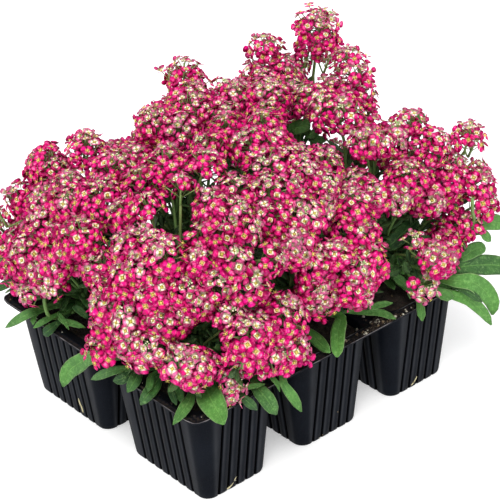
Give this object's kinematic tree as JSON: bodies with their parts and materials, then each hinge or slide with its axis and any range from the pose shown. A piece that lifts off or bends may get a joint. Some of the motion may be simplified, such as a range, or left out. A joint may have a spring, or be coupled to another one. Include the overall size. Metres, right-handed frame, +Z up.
{
  "type": "potted sweet alyssum",
  "caption": "Black nursery cell pack of sweet alyssum in full bloom: tapered ribbed cells of soil under a low mound of domed rose-pink flower heads and green leaves.",
  "frame": {"origin": "centre of the whole object's footprint, on the plane that the cells' bottoms rest on", "axes": "+X along the side with three cells, +Y along the side with two cells towards the rear, +Z up"},
  "size_m": [0.229, 0.207, 0.1724],
  "materials": {
    "pack_plastic": "satin",
    "soil": "matte",
    "stem": "satin",
    "leaf": "satin",
    "petal": "matte"
  },
  "bodies": {
    "root": {"cell_pack": "pack_plastic", "soil_front_left": "soil", "plant_front_left_stems": "stem", "plant_front_left_leaves": "leaf", "plant_front_left_flowers_1": "petal", "plant_front_left_flowers_2": "petal", "plant_front_left_flowers_3": "petal", "plant_front_left_flowers_4": "petal", "plant_front_left_flowers_5": "petal", "plant_front_left_flowers_6": "petal", "soil_front_middle": "soil", "plant_front_middle_stems": "stem", "plant_front_middle_leaves": "leaf", "plant_front_middle_flowers_1": "petal", "plant_front_middle_flowers_2": "petal", "plant_front_middle_flowers_3": "petal", "plant_front_middle_flowers_4": "petal", "plant_front_middle_flowers_5": "petal", "plant_front_middle_flowers_6": "petal", "soil_front_right": "soil", "plant_front_right_stems": "stem", "plant_front_right_leaves": "leaf", "plant_front_right_flowers_1": "petal", "plant_front_right_flowers_2": "petal", "plant_front_right_flowers_3": "petal", "plant_front_right_flowers_4": "petal", "plant_front_right_flowers_5": "petal", "plant_front_right_flowers_6": "petal", "soil_rear_left": "soil", "plant_rear_left_stems": "stem", "plant_rear_left_leaves": "leaf", "plant_rear_left_flowers_1": "petal", "plant_rear_left_flowers_2": "petal", "plant_rear_left_flowers_3": "petal", "plant_rear_left_flowers_4": "petal", "plant_rear_left_flowers_5": "petal", "plant_rear_left_flowers_6": "petal", "soil_rear_middle": "soil", "plant_rear_middle_stems": "stem", "plant_rear_middle_leaves": "leaf", "plant_rear_middle_flowers_1": "petal", "plant_rear_middle_flowers_2": "petal", "plant_rear_middle_flowers_3": "petal", "plant_rear_middle_flowers_4": "petal", "plant_rear_middle_flowers_5": "petal", "plant_rear_middle_flowers_6": "petal", "soil_rear_right": "soil", "plant_rear_right_stems": "stem", "plant_rear_right_leaves": "leaf", "plant_rear_right_flowers_1": "petal", "plant_rear_right_flowers_2": "petal", "plant_rear_right_flowers_3": "petal", "plant_rear_right_flowers_4": "petal", "plant_rear_right_flowers_5": "petal", "plant_rear_right_flowers_6": "petal"}
  },
  "joints": []
}
